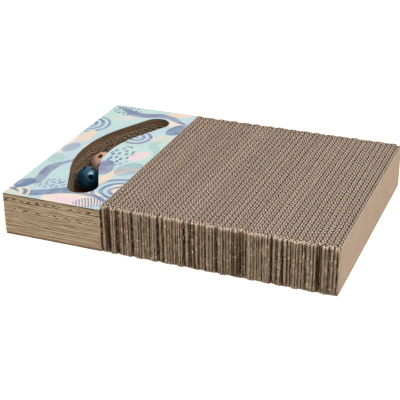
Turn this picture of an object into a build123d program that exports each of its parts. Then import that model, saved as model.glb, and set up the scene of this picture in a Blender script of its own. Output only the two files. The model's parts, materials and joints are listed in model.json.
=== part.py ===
from build123d import *
import os
from math import atan2, cos, degrees, hypot, radians, sin

# Low block for a cat to scratch: a play panel with two balls in a curved slot, and a pad of
# corrugated strips beside it. Millimetres, +Z up, +X from the panel to the pad, -Y to the front.
# The origin is under the middle of the block, on the floor.

# Board
board_thickness = 6.25          # one double-wall corrugated board, flat or on edge
overrun = 5.0                   # how far every cutting shape runs past what it cuts

# Play panel
panel_length = 125.0            # along X
panel_depth = 300.0             # along Y
floor_sheet_count = 2           # uncut boards under the slot
slotted_sheet_count = 6         # boards that the slot goes through
printed_sheet_thickness = 2.5   # fine-flute sheet with the printed face

# Slot: a bend with a straight leg at each end and round ends
slot_margin = 27.7              # from the panel's outer edge to the slot's nearest wall
slot_offset = 1.9               # of the slot's middle from the panel's, towards the back
slot_bend_radius = 142.5        # on the slot's middle line
slot_bend_angle = 26.7          # degrees each side of the slot's middle
slot_leg = 43.2                 # straight run after the bend
slot_flare = 1.8                # how far the outer wall spreads towards the slot's front end

# Scratching pad
strip_count = 44
strip_length = 290.0            # along Y, from the panel's front to the foremost back end
pad_height = 56.0
flute_pitch = 7.9               # from crest to crest
flute_depth = 3.6
strip_end_land = 2.0            # least plain length at each end of a strip
strip_stagger = 2.2             # range of the strips' places at each end
tear_depth = 7.0                # how far the fluting of a torn strip is missing at the front
torn_strips = (0, 3, 6, 11, 12, 16, 17, 18, 20, 22, 25, 26, 32, 33, 34, 38, 40, 42)
stagger_step_angle = 137.5      # degrees of the stagger's wave from one strip to the next
phase_step_share = 0.381966     # of a flute, from one strip's flutes to the next strip's

# Balls
ball_diameter = 30.0
ball_side_clearance = 2.3       # from a ball in the middle of the slot to each wall
ball_wall = 1.6
ball_hole_diameter = 7.0
ball_ring_hole_count = 4        # holes in the ring round each pole hole
ball_ring_angle = 54.0          # degrees from the pole hole to its ring
ball_lip_height = 1.2           # step where the half shells meet
ball_lip_share = 0.5            # of the wall, the part that the inner step takes
lip_clearance = 0.1
ball_clearance = 0.3            # from a ball to the slot's floor

# Bells inside the balls
bell_diameter = 10.0
bell_wall = 0.5
bell_rim = 0.35                 # how far the crimped rim stands out
bell_rim_height = 0.8
bell_slit = 1.0                 # width of the sound slit across the foot
bell_slit_rise = 2.4            # how high the slit's ends come up the sides
bell_clearance = 0.3            # from a bell to the inside of its ball

# Where each ball lies, in degrees: along its path from the slot's middle towards the front, then
# how it has rolled: the elevation and azimuth of a pole hole, and the turn of its ring of holes
blue_path_angle = 11.9
blue_elevation_angle = 61.4
blue_azimuth_angle = 13.3
blue_ring_turn_angle = -83.1
rose_path_angle = -3.5
rose_elevation_angle = 64.7
rose_azimuth_angle = -97.5
rose_ring_turn_angle = 26.1

# Places that follow from the sizes above
slot_width = ball_diameter + 2 * ball_side_clearance
pad_length = strip_count * board_thickness
panel_left = -(panel_length + pad_length) / 2
pad_left = panel_left + panel_length
front = -panel_depth / 2
slot_floor = floor_sheet_count * board_thickness
ball_radius = ball_diameter / 2
ball_inner_radius = ball_radius - ball_wall
lip_radius = ball_inner_radius + ball_wall * ball_lip_share
bell_radius = bell_diameter / 2
ball_height = slot_floor + ball_clearance + ball_radius

ball_lies = {
    "blue": (blue_path_angle, blue_elevation_angle, blue_azimuth_angle, blue_ring_turn_angle),
    "rose": (rose_path_angle, rose_elevation_angle, rose_azimuth_angle, rose_ring_turn_angle),
}

# The slot's middle line, from its middle point on the left to the end of one leg
slot_mid_x = panel_left + slot_margin + slot_width / 2
bend_sin = sin(radians(slot_bend_angle))
bend_cos = cos(radians(slot_bend_angle))
bend_end_in = slot_bend_radius * (1 - bend_cos)
bend_end_along = slot_bend_radius * bend_sin
leg_end_in = bend_end_in + slot_leg * bend_sin
leg_end_along = bend_end_along + slot_leg * bend_cos

# The balls' path: the circle through the slot's middle point and both leg ends, made smaller by
# half of what it misses the ends of the bend by, so that it strays evenly to both sides
through_radius = (leg_end_along**2 + leg_end_in**2) / (2 * leg_end_in)
path_centre_x = slot_mid_x + through_radius
bend_miss = through_radius - hypot(through_radius - bend_end_in, bend_end_along)
path_radius = through_radius - bend_miss / 2


def slot_wall(reach, flare):
    """Corners of the wall that lies this far outside the middle line, from front to back."""
    radius = slot_bend_radius + reach
    bend_x = slot_mid_x + slot_bend_radius
    middle = Vector(bend_x - radius, slot_offset)
    front_bend = Vector(bend_x - radius * bend_cos, slot_offset - radius * bend_sin)
    back_bend = Vector(bend_x - radius * bend_cos, slot_offset + radius * bend_sin)
    front_end = front_bend + Vector(bend_sin, -bend_cos) * slot_leg - Vector(bend_cos, bend_sin) * flare
    back_end = back_bend + Vector(bend_sin, bend_cos) * slot_leg
    return front_end, front_bend, middle, back_bend, back_end


def slot_face():
    """The slot seen from above."""
    outer = slot_wall(slot_width / 2, slot_flare)
    inner = slot_wall(-slot_width / 2, 0)
    edges = []
    for front_end, front_bend, middle, back_bend, back_end in (outer, inner):
        edges.append(Line(front_end, front_bend))
        edges.append(ThreePointArc(front_bend, middle, back_bend))
        edges.append(Line(back_bend, back_end))
    for end, side in ((0, -1), (4, 1)):
        half = (outer[end] - inner[end]) / 2
        tip = inner[end] + half + Vector(bend_sin, side * bend_cos) * half.length
        edges.append(ThreePointArc(outer[end], tip, inner[end]))
    return make_face(edges)


def panel_sheet(bottom, thickness, slot=None):
    """One flat sheet of the panel, with the slot through it if one is given."""
    corner = (panel_left, front, bottom)
    sheet = Pos(*corner) * Box(panel_length, panel_depth, thickness, align=(Align.MIN,) * 3)
    if slot is None:
        return sheet
    cutter = extrude(Pos(0, 0, bottom - overrun) * slot, thickness + 2 * overrun)
    return sheet - cutter


def strip_ends(index):
    """Where a strip starts at the front and ends at the back."""
    step = radians(stagger_step_angle * index)
    near = front + strip_stagger * (1 + sin(step)) / 2
    far = front + strip_length + strip_stagger * (1 + cos(step)) / 2
    return near, far


def scratch_strip(index):
    """An upright strip: flat on the right, with a row of open flutes on the left."""
    left = pad_left + index * board_thickness
    right = left + board_thickness
    valley = left + flute_depth
    near, far = strip_ends(index)
    flutes_near = near + tear_depth if index in torn_strips else near
    phase = flute_pitch * (index * phase_step_share % 1)
    first_crest = flutes_near + strip_end_land + phase
    flutes = int((far - strip_end_land - first_crest) / flute_pitch)
    wave = [(left, first_crest)]
    for flute in range(flutes):
        crest = first_crest + flute * flute_pitch
        wave.append((valley, crest + flute_pitch / 2))
        wave.append((left, crest + flute_pitch))
    front_end = [(right, near), (left, near)]
    if index in torn_strips:
        front_end = [(right, near), (valley, near), (valley, flutes_near), (left, flutes_near)]
    outline = [(right, far), *front_end, *wave, (left, far)]
    return extrude(make_face(Polyline(*outline, close=True)), pad_height)


def radial_hole(tilt, turn):
    """A round cutter from inside a ball out through its wall, tilted from +Z and then turned."""
    inner_end = ball_inner_radius / 2
    reach = ball_radius + overrun - inner_end
    cutter = Cylinder(ball_hole_diameter / 2, reach, align=(Align.CENTER, Align.CENTER, Align.MIN))
    return Rot(Z=turn) * Rot(Y=tilt) * Pos(Z=inner_end) * cutter


def ball_half(second):
    """A perforated half shell. The first has an inner lip that enters a step in the second."""
    shell = Sphere(ball_radius) - Sphere(ball_inner_radius)
    side = 2 * (ball_radius + overrun)
    upper = Box(side, side, side / 2, align=(Align.CENTER, Align.CENTER, Align.MIN))
    below = (Align.CENTER, Align.CENTER, Align.MAX)
    step = 360 / ball_ring_hole_count
    if second:
        recess_radius = lip_radius + lip_clearance
        recess = Cylinder(recess_radius, ball_lip_height + lip_clearance, align=below)
        half = shell - upper - recess
        pole, tilt, ring_turn = 180, 180 - ball_ring_angle, step / 2
    else:
        lip = Cylinder(lip_radius, ball_lip_height, align=below) - Sphere(ball_inner_radius)
        half = (shell & upper) + lip
        pole, tilt, ring_turn = 0, ball_ring_angle, 0
    half -= radial_hole(pole, 0)
    for hole in range(ball_ring_hole_count):
        half -= radial_hole(tilt, ring_turn + hole * step)
    return half


def bell():
    """A small round bell with a crimped rim and a slit across its foot."""
    inner = Sphere(bell_radius - bell_wall)
    body = Sphere(bell_radius) + Cylinder(bell_radius + bell_rim, bell_rim_height) - inner
    slit_depth = bell_slit_rise + overrun
    slit = Box(bell_diameter, bell_slit, slit_depth, align=(Align.CENTER, Align.CENTER, Align.MAX))
    return body - Pos(Z=bell_slit_rise - bell_radius) * slit


def ball_parts(colour):
    """The two half shells and the bell of one ball, where they lie in the slot."""
    along, elevation, azimuth, ring_turn = ball_lies[colour]
    centre_x = path_centre_x - path_radius * cos(radians(along))
    centre_y = slot_offset - path_radius * sin(radians(along))
    place = Pos(centre_x, centre_y, ball_height)
    rolled = Rot(Z=azimuth) * Rot(Y=90 - elevation) * Rot(Z=ring_turn)
    bell_drop = ball_inner_radius - bell_clearance - bell_radius
    return {
        f"{colour}_ball_half_1": place * rolled * ball_half(second=False),
        f"{colour}_ball_half_2": place * rolled * ball_half(second=True),
        f"{colour}_ball_bell": place * Rot(Z=along) * Pos(Z=-bell_drop) * bell(),
    }


def main():
    pieces = {}
    slot = slot_face()
    for index in range(floor_sheet_count):
        pieces[f"floor_sheet_{index + 1}"] = panel_sheet(index * board_thickness, board_thickness)
    for index in range(slotted_sheet_count):
        bottom = slot_floor + index * board_thickness
        pieces[f"slotted_sheet_{index + 1}"] = panel_sheet(bottom, board_thickness, slot)
    stack_top = slot_floor + slotted_sheet_count * board_thickness
    pieces["printed_top_sheet"] = panel_sheet(stack_top, printed_sheet_thickness, slot)
    for index in range(strip_count):
        pieces[f"scratch_strip_{index + 1:02d}"] = scratch_strip(index)
    for colour in ball_lies:
        pieces.update(ball_parts(colour))
    os.makedirs("parts", exist_ok=True)
    for name, piece in pieces.items():
        export_step(piece, f"parts/{name}.step")
    stop_angle = degrees(atan2(leg_end_along, through_radius - leg_end_in))
    centre = f"({path_centre_x:.3f}, {slot_offset:.3f})"
    print(f"{len(pieces)} pieces, ball path radius {path_radius:.3f} about {centre},")
    print(f"slot ends {stop_angle:.2f} degrees from its middle, balls' centres at z {ball_height:.2f}")


main()
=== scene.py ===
import json

import bmesh
import bpy
import numpy as np
from mathutils import Matrix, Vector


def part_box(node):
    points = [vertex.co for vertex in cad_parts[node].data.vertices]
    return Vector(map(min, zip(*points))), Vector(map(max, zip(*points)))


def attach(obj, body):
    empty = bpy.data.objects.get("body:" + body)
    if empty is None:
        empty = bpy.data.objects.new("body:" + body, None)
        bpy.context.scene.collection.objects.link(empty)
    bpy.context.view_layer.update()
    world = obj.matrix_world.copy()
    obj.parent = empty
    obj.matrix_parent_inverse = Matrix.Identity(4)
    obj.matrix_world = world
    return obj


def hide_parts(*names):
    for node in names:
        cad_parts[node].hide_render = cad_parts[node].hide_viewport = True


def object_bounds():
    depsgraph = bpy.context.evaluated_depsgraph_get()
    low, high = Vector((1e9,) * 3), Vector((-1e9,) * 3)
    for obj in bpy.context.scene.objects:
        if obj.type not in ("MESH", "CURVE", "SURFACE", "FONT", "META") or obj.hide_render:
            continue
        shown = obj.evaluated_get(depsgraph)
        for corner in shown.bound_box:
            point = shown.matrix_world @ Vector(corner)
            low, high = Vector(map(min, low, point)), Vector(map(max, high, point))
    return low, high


# Low cat scratcher of corrugated board. Strips on edge make the pad, flat sheets with a curved slot
# make the play panel, and two hollow balls lie in the slot. Metres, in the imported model's frame.

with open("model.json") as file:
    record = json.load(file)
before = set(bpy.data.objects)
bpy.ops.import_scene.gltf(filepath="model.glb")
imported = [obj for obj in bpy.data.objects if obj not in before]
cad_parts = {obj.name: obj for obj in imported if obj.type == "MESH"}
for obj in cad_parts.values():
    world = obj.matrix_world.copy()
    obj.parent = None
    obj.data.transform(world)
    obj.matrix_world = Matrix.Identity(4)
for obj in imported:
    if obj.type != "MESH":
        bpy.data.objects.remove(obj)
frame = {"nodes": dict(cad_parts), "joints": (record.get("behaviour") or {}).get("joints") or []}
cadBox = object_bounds()
mm = 0.001
hair = 0.001 * mm  # a difference too small to matter
nodeNames = sorted(frame["nodes"])
print("frame loaded:", len(nodeNames), "nodes")


# helpers for arrays and meshes

def linear(hexColour):
    # sRGB hex to the linear values that the shader takes, with an alpha of 1
    code = np.array([int(hexColour[i:i + 2], 16) for i in (1, 3, 5)]) / 255
    low = code / 12.92
    high = ((code + 0.055) / 1.055) ** 2.4
    return (*np.where(code <= 0.04045, low, high), 1.0)


def ripple(along, length, rng, waves=6):
    # sum of sine waves whose lengths lie about the given one, with random phases, about -1 to 1
    turns = 2 * np.pi / (length * rng.uniform(0.6, 1.7, waves))
    starts = rng.uniform(0, 2 * np.pi, waves)
    return np.sin(along[..., None] * turns + starts).sum(-1) / waves ** 0.5


def smoothStep(share):
    share = np.clip(share, 0, 1)
    return share * share * (3 - 2 * share)


def blended(first, second, share):
    return first + (second - first) * share


def corners(name):
    return [np.array(corner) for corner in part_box(name)]


def gridFaces(rows, columns, first=0):
    # corner numbers of the quads of a grid whose points are stored row by row
    corner = first + (np.arange(rows - 1)[:, None] * columns + np.arange(columns - 1)).ravel()
    return np.stack([corner, corner + columns, corner + columns + 1, corner + 1], 1)


def slab(u, v, low, high, order):
    # closed shell between two faces on one grid: u and v are the grid's places, low and high the
    # heights of its faces. The order says which of u, v and height are x, y and z.
    rows, columns = low.shape
    faces = [np.stack([u, v, side], -1).reshape(-1, 3) for side in (low, high)]
    points = np.concatenate(faces)[:, ["uvh".index(axis) for axis in order]]
    count = rows * columns
    top = gridFaces(rows, columns, count)
    bottom = gridFaces(rows, columns)[:, ::-1]
    number = np.arange(count).reshape(rows, columns)
    border = np.concatenate([number[:-1, 0], number[-1, :-1], number[:0:-1, -1], number[0, :0:-1]])
    after = np.roll(border, -1)
    rim = np.stack([after, border, border + count, after + count], 1)
    quads = np.concatenate([top, bottom, rim])
    return points, quads if order in ("uvh", "huv", "vhu") else quads[:, ::-1]


def makePiece(name, shells, materials):
    # shells are (points, faces, cut, tone, material number): cut is 1 on a cut edge and 0 inside,
    # tone is the lightness of that layer of paper, which differs at random, and below 1 brings in the painted
    # shade of the flutes' hollows; both become attributes for the materials
    first = np.cumsum([0] + [len(s[0]) for s in shells])
    points = np.concatenate([s[0] for s in shells])
    faces = np.concatenate([s[1] + start for s, start in zip(shells, first)])
    mesh = bpy.data.meshes.new(name)
    mesh.vertices.add(len(points))
    mesh.vertices.foreach_set("co", points.astype(np.float32).ravel())
    mesh.loops.add(faces.size)
    mesh.loops.foreach_set("vertex_index", faces.astype(np.int32).ravel())
    mesh.polygons.add(len(faces))
    mesh.polygons.foreach_set("loop_start", np.arange(0, faces.size, 4, dtype=np.int32))
    numbers = np.concatenate([np.full(len(s[1]), s[4], np.int32) for s in shells])
    mesh.polygons.foreach_set("material_index", numbers)
    for label, place in (("cut", 2), ("tone", 3)):
        values = np.concatenate([np.broadcast_to(s[place], len(s[0])) for s in shells])
        layer = mesh.attributes.new(label, "FLOAT", "POINT")
        layer.data.foreach_set("value", values.astype(np.float32))
    mesh.update(calc_edges=True)
    mesh.validate()
    for material in materials:
        mesh.materials.append(material)
    piece = bpy.data.objects.new(name, mesh)
    bpy.context.scene.collection.objects.link(piece)
    return piece


def standIn(piece, node, body):
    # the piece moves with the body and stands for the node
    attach(piece, body)
    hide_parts(node)


def addNode(tree, kind, inputs=None, **settings):
    # one shader node: settings are its own properties, inputs are values, or sockets or nodes to link. A
    # node stands for the first of its outputs that is in use.
    made = tree.nodes.new("ShaderNode" + kind)
    for key, value in settings.items():
        setattr(made, key, value)
    for key, value in (inputs or {}).items():
        if isinstance(value, bpy.types.Node):
            value = next(socket for socket in value.outputs if socket.enabled)
        if isinstance(value, bpy.types.NodeSocket):
            tree.links.new(value, made.inputs[key])
        else:
            made.inputs[key].default_value = value
    return made


def newMaterial(name):
    material = bpy.data.materials.new(name)
    material.use_nodes = True
    material.node_tree.nodes.clear()
    return material, material.node_tree


def addSurface(tree, inputs):
    # the last nodes of a material: its shader and the output
    addNode(tree, "OutputMaterial", {"Surface": addNode(tree, "BsdfPrincipled", inputs)})


# materials

# the inside colour is painted shade: the dark of the flutes' hollows
kraft = dict(toneCurve=5.0, roughness=0.92, specular=0.1)  # a tone under 1 soon falls to the inside colour


def kraftBoard(name, look):
    # raw kraft board, as cut: matt brown paper with long fibres and flecks. The cut edge is paler and
    # fuzzy. Ends that face along y get a cut colour of their own, as painted light and shade, and the paper
    # inside the flutes is painted darker, as painted shade in the hollows.
    material, tree = newMaterial(name)
    coordinates = addNode(tree, "TexCoord")
    place = coordinates.outputs["Object"]
    tone = addNode(tree, "Attribute", attribute_name="tone").outputs["Fac"]
    cut = addNode(tree, "Attribute", attribute_name="cut").outputs["Fac"]
    # painted shade: layers inside the board take the dark inside colour, as shade in the flutes' hollows
    pale = addNode(tree, "Math", {0: tone, 1: kraft["toneCurve"]}, operation="POWER")
    paper = addNode(tree, "Mix", {"Factor": pale, "A": linear(look["inside"]), "B": linear(look["liner"])},
                    data_type="RGBA")
    cloud = addNode(tree, "TexNoise", {"Vector": place, "Scale": 1 / (look["cloudSize"] * mm), "Detail": 4.0})
    patch = addNode(tree, "MapRange", {"Value": cloud, "From Min": 0.3, "From Max": 0.7,
                                       "To Min": 1 - look["mottle"], "To Max": 1 + look["mottle"]})
    stretch = addNode(tree, "Mapping", {"Vector": place, "Scale": look["fibreStretch"]})
    fibre = addNode(tree, "TexNoise", {"Vector": stretch, "Scale": 1 / (look["fibreWidth"] * mm),
                                       "Detail": 3.0, "Roughness": 0.7})
    fleck = addNode(tree, "MapRange", {"Value": fibre, "From Min": 0.3, "From Max": 0.7,
                                       "To Min": 1 - look["fleck"], "To Max": 1 + look["fleck"]})
    shade = addNode(tree, "Math", {0: patch, 1: fleck}, operation="MULTIPLY")
    mottled = addNode(tree, "VectorMath", {0: paper, "Scale": shade}, operation="SCALE")
    along = addNode(tree, "Mapping", {"Vector": place, "Scale": look["streakStretch"]})
    streak = addNode(tree, "TexNoise", {"Vector": along, "Scale": 1 / (look["streakWidth"] * mm),
                                        "Detail": 3.0, "Roughness": 0.7})
    fuzz = addNode(tree, "MapRange", {"Value": streak, "From Min": 0.3, "From Max": 0.7,
                                      "To Min": look["edgeLeast"], "To Max": look["edgeMost"]})
    edge = addNode(tree, "Math", {0: cut, 1: fuzz}, operation="MULTIPLY", use_clamp=True)
    layerShade = addNode(tree, "MapRange", {"Value": tone, "To Min": 1 - look["layerShade"], "To Max": 1.0})
    # painted light and shade: cut ends that face along y take a colour of their own, darker on the pad's
    # front, and lighter on the panel's front than on its slot walls
    facing = addNode(tree, "SeparateXYZ", {0: coordinates.outputs["Normal"]}).outputs["Y"]
    endways = addNode(tree, "Math", {0: facing, 1: facing}, operation="MULTIPLY")
    cutLitByFacing = addNode(tree, "Mix", {"Factor": endways, "A": linear(look["cutEdge"]),
                                 "B": linear(look["endEdgePaintedLight"])}, data_type="RGBA")
    cutPaper = addNode(tree, "VectorMath", {0: cutLitByFacing, "Scale": layerShade}, operation="SCALE")
    edged = addNode(tree, "Mix", {"Factor": edge, "A": mottled, "B": cutPaper}, data_type="RGBA")
    bump = addNode(tree, "Bump", {"Height": fibre, "Strength": look["relief"],
                                  "Distance": look["fibreWidth"] * mm})
    addSurface(tree, {"Base Color": edged, "Normal": bump, "Roughness": kraft["roughness"],
                      "Specular IOR Level": kraft["specular"]})
    return material


# sizes in mm. Real fibres and the streaks of a cut edge are finer: both are drawn coarser, so that they show.
# in both looks the inside colour is painted shade, the dark of the hollows, and the end edge colour is
# painted light and shade on ends that face along y
padLook = dict(liner="#b09b8b", inside="#56330a", cutEdge="#f6dfd0", endEdgePaintedLight="#d8c2a8", layerShade=0.4,
               cloudSize=25.0, mottle=0.05, fibreWidth=0.8, fibreStretch=(1.0, 0.25, 1.0), fleck=0.06,
               relief=0.3, streakWidth=0.8, streakStretch=(1.0, 1.0, 0.03), edgeLeast=0.75, edgeMost=1.0)
panelLook = dict(liner="#a0866a", inside="#644222", cutEdge="#d8c0a8", endEdgePaintedLight="#ead1b4", layerShade=0.3,
                 cloudSize=18.0, mottle=0.06, fibreWidth=0.8, fibreStretch=(0.2, 1.0, 1.0), fleck=0.14,
                 relief=0.5, streakWidth=1.5, streakStretch=(0.03, 0.03, 1.0), edgeLeast=0.4, edgeMost=1.1)

padKraft = kraftBoard("kraft corrugated strip", padLook)
panelKraft = kraftBoard("kraft corrugated sheet", panelLook)


# the print on the panel: cut-paper ribbons, pebbles, rainbow arcs and dots in pastel inks

inks = dict(mint="#c2e2e3", sky="#bfd9ec", cream="#eee4de", lavender="#7e83b0", slate="#6681ad",
            pink="#f2d8e8", peach="#f0dacc", teal="#aed3d4")
printLook = dict(ground=("mint", "sky", "cream"), groundSize=85.0, wander=3.0, wanderSize=32.0,
                 soften=0.45, washSize=16.0, washLeast=0.66, flutePitch=3.2, washboard=0.1,
                 washboardDepth=0.3, cutEdge="#4d3b28", roughness=0.5, specular=0.35)
# each motif's middle and half sizes are in mm, its turn in degrees. A pitch is the spacing of a comb, of
# an arc's bands or of dots, and a ribbon's wave is its height and length.
motifs = [
    dict(kind="ribbon", at=(-148, -127), size=(66, 8), turn=12, wave=(7, 84), ink="slate"),
    dict(kind="arc", at=(-201, -152), size=(34, 34), turn=0, pitch=11, ink="peach"),
    dict(kind="ribbon", at=(-181, -84), size=(58, 7), turn=80, wave=(5, 70), ink="lavender"),
    dict(kind="pebble", at=(-121, -139), size=(17, 9), turn=-10, ink="pink"),
    dict(kind="comb", at=(-93, -136), size=(21, 11), turn=24, pitch=3.4, ink="lavender"),
    dict(kind="arc", at=(-75, -98), size=(33, 33), turn=0, pitch=10, ink="slate"),
    dict(kind="ribbon", at=(-106, -72), size=(50, 8), turn=58, wave=(6, 76), ink="peach"),
    dict(kind="pebble", at=(-122, -46), size=(12, 21), turn=14, ink="lavender"),
    dict(kind="comb", at=(-91, -40), size=(14, 21), turn=-22, pitch=3.2, ink="slate"),
    dict(kind="dots", at=(-118, -6), size=(17, 30), turn=5, pitch=7, ink="slate"),
    dict(kind="pebble", at=(-97, 0), size=(10, 16), turn=-12, ink="pink"),
    dict(kind="ribbon", at=(-84, 22), size=(46, 7), turn=104, wave=(5, 62), ink="teal"),
    dict(kind="arc", at=(-124, 52), size=(25, 25), turn=0, pitch=9, ink="lavender"),
    dict(kind="comb", at=(-91, 60), size=(17, 11), turn=30, pitch=3.2, ink="peach"),
    dict(kind="pebble", at=(-86, 92), size=(11, 19), turn=-16, ink="slate"),
    dict(kind="ribbon", at=(-136, 128), size=(64, 8), turn=-9, wave=(6, 80), ink="lavender"),
    dict(kind="pebble", at=(-104, 142), size=(18, 8), turn=6, ink="peach"),
    dict(kind="dots", at=(-176, 134), size=(22, 15), turn=-12, pitch=7, ink="slate"),
    dict(kind="comb", at=(-166, 108), size=(15, 9), turn=34, pitch=3.2, ink="pink"),
    dict(kind="arc", at=(-203, 74), size=(28, 28), turn=0, pitch=9, ink="slate"),
    dict(kind="pebble", at=(-187, 34), size=(9, 20), turn=6, ink="peach"),
    dict(kind="comb", at=(-188, -4), size=(10, 17), turn=-10, pitch=3.2, ink="lavender"),
    dict(kind="pebble", at=(-191, -40), size=(10, 15), turn=18, ink="teal"),
    dict(kind="dots", at=(-160, -108), size=(20, 12), turn=18, pitch=7, ink="lavender"),
    dict(kind="pebble", at=(-190, -116), size=(9, 15), turn=-24, ink="slate"),
]


def motifMask(tree, local, motif):
    # 1 inside a motif and 0 outside. A pebble is an ellipse, a comb an ellipse of stripes, an arc a ring
    # of bands about its middle, dots a speckled ellipse. A ribbon follows a sine wave and tapers.
    long, wide = motif["size"]
    soft = printLook["soften"]
    if motif["kind"] == "ribbon":
        rise, length = motif["wave"]
        axis = addNode(tree, "SeparateXYZ", {0: local})
        turn = addNode(tree, "Math", {0: axis.outputs["X"], 1: 2 * np.pi / (length * mm)},
                       operation="MULTIPLY")
        wave = addNode(tree, "Math", {0: turn}, operation="SINE")
        off = addNode(tree, "Math", {0: wave, 1: -rise * mm, 2: axis.outputs["Y"]}, operation="MULTIPLY_ADD")
        gap = addNode(tree, "Math", {0: off}, operation="ABSOLUTE")
        share = addNode(tree, "Math", {0: axis.outputs["X"], 1: 1 / (long * mm)}, operation="MULTIPLY")
        square = addNode(tree, "Math", {0: share, 1: share}, operation="MULTIPLY")
        reach = addNode(tree, "Math", {0: square, 1: -wide * mm, 2: wide * mm}, operation="MULTIPLY_ADD")
        inside = addNode(tree, "Math", {0: reach, 1: gap}, operation="SUBTRACT")
        return addNode(tree, "MapRange", {"Value": inside, "From Min": -soft * mm, "From Max": soft * mm})
    flat = addNode(tree, "VectorMath", {0: local, 1: (1 / (long * mm), 1 / (wide * mm), 0)},
                   operation="MULTIPLY")
    away = addNode(tree, "VectorMath", {0: flat}, operation="LENGTH")
    edge = soft / min(long, wide)
    mask = addNode(tree, "MapRange", {"Value": away, "From Min": 1 + edge, "From Max": 1 - edge})
    if motif["kind"] == "pebble":
        return mask
    if motif["kind"] == "dots":
        spots = addNode(tree, "TexVoronoi", {"Vector": flat, "Scale": long / motif["pitch"],
                                             "Randomness": 0.7}, voronoi_dimensions="2D")
        tooth = addNode(tree, "MapRange", {"Value": spots, "From Min": 0.36, "From Max": 0.26})
    else:
        if motif["kind"] == "comb":
            across = addNode(tree, "SeparateXYZ", {0: local}).outputs["X"]
            turns = 2 * np.pi / (motif["pitch"] * mm)
        else:
            across = away
            turns = 2 * np.pi * long / motif["pitch"]
        turn = addNode(tree, "Math", {0: across, 1: turns}, operation="MULTIPLY")
        wave = addNode(tree, "Math", {0: turn}, operation="COSINE")
        tooth = addNode(tree, "MapRange", {"Value": wave, "From Min": -0.3, "From Max": 0.3})
    return addNode(tree, "Math", {0: mask, 1: tooth}, operation="MULTIPLY")


def printedLiner():
    # white-lined board with a flat litho print: satin pastel inks with crisp edges, and the fine flutes
    # below just showing as a washboard. The cut edge is dark brown: the board's own unprinted core, made
    # darker as a painted shadow line under the print.
    material, tree = newMaterial("litho printed liner")
    place = addNode(tree, "TexCoord").outputs["Object"]
    cut = addNode(tree, "Attribute", attribute_name="cut").outputs["Fac"]
    # shapes are cut by eye: a slow noise moves each outline by a few millimetres
    sway = addNode(tree, "TexNoise", {"Vector": place, "Scale": 1 / (printLook["wanderSize"] * mm),
                                      "Detail": 0.0})
    centred = addNode(tree, "VectorMath", {0: sway.outputs["Color"], 1: (0.5, 0.5, 0.5)},
                      operation="SUBTRACT")
    twice = (2 * printLook["wander"] * mm,) * 3  # the noise reaches half way to each side
    moved = addNode(tree, "VectorMath", {0: centred, 1: twice, 2: place}, operation="MULTIPLY_ADD")
    large = addNode(tree, "TexNoise", {"Vector": moved, "Scale": 1 / (printLook["groundSize"] * mm),
                                       "Detail": 1.0})
    first, second, third = (linear(inks[ink]) for ink in printLook["ground"])
    drift = addNode(tree, "MapRange", {"Value": large, "From Min": 0.4, "From Max": 0.52})
    ground = addNode(tree, "Mix", {"Factor": drift, "A": first, "B": second}, data_type="RGBA")
    island = addNode(tree, "MapRange", {"Value": large, "From Min": 0.575, "From Max": 0.585})
    colour = addNode(tree, "Mix", {"Factor": island, "A": ground, "B": third}, data_type="RGBA")
    # the ink lies thinner in places, so that the ground shows through as in a wash
    pool = addNode(tree, "TexNoise", {"Vector": place, "Scale": 1 / (printLook["washSize"] * mm),
                                      "Detail": 2.0})
    wash = addNode(tree, "MapRange", {"Value": pool, "From Min": 0.35, "From Max": 0.62,
                                      "To Min": printLook["washLeast"]})
    for motif in motifs:
        middle = [part * mm for part in motif["at"]]
        local = addNode(tree, "Mapping", {"Vector": moved, "Location": (*middle, 0),
                                          "Rotation": (0, 0, np.radians(motif["turn"]))},
                        vector_type="TEXTURE")
        cover = addNode(tree, "Math", {0: motifMask(tree, local, motif), 1: wash}, operation="MULTIPLY")
        colour = addNode(tree, "Mix", {"Factor": cover, "A": colour, "B": linear(inks[motif["ink"]])},
                         data_type="RGBA")
    # the dark cut edge is partly the board's core and partly painted shadow under the print
    rim = addNode(tree, "MapRange", {"Value": cut, "From Max": 0.2})
    edged = addNode(tree, "Mix", {"Factor": rim, "A": colour, "B": linear(printLook["cutEdge"])},
                    data_type="RGBA")
    across = addNode(tree, "SeparateXYZ", {0: place}).outputs["X"]
    turn = addNode(tree, "Math", {0: across, 1: 2 * np.pi / (printLook["flutePitch"] * mm)},
                   operation="MULTIPLY")
    wave = addNode(tree, "Math", {0: turn}, operation="SINE")
    bump = addNode(tree, "Bump", {"Height": wave, "Strength": printLook["washboard"],
                                  "Distance": printLook["washboardDepth"] * mm})
    addSurface(tree, {"Base Color": edged, "Normal": bump, "Roughness": printLook["roughness"],
                      "Specular IOR Level": printLook["specular"]})
    return material


printMaterial = printedLiner()


def mouldedPlastic(name, look):
    # injection-moulded polystyrene: soft gloss, slight flow clouds in the colour, fine handling marks
    material, tree = newMaterial(name)
    place = addNode(tree, "TexCoord").outputs["Object"]
    cloud = addNode(tree, "TexNoise", {"Vector": place, "Scale": 1 / (look["flowSize"] * mm), "Detail": 2.0})
    blend = addNode(tree, "MapRange", {"Value": cloud, "From Min": 0.35, "From Max": 0.65})
    colour = addNode(tree, "Mix", {"Factor": blend, "A": linear(look["deep"]), "B": linear(look["light"])},
                     data_type="RGBA")
    marks = addNode(tree, "TexNoise", {"Vector": place, "Scale": 1 / (look["markSize"] * mm), "Detail": 3.0})
    least, most = look["gloss"]
    gloss = addNode(tree, "MapRange", {"Value": marks, "To Min": least, "To Max": most})
    addSurface(tree, {"Base Color": colour, "Roughness": gloss, "IOR": look["ior"],
                      "Specular IOR Level": look["specular"]})
    return material


bluePlastic = mouldedPlastic("moulded blue polystyrene", dict(
    deep="#07415f", light="#0d5678", flowSize=14.0, markSize=1.2, gloss=(0.22, 0.34),
    specular=0.32, ior=1.52))
rosePlastic = mouldedPlastic("moulded rose polystyrene", dict(
    deep="#d6a898", light="#e0baa8", flowSize=14.0, markSize=1.2, gloss=(0.25, 0.45),
    specular=0.5, ior=1.52))


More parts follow.
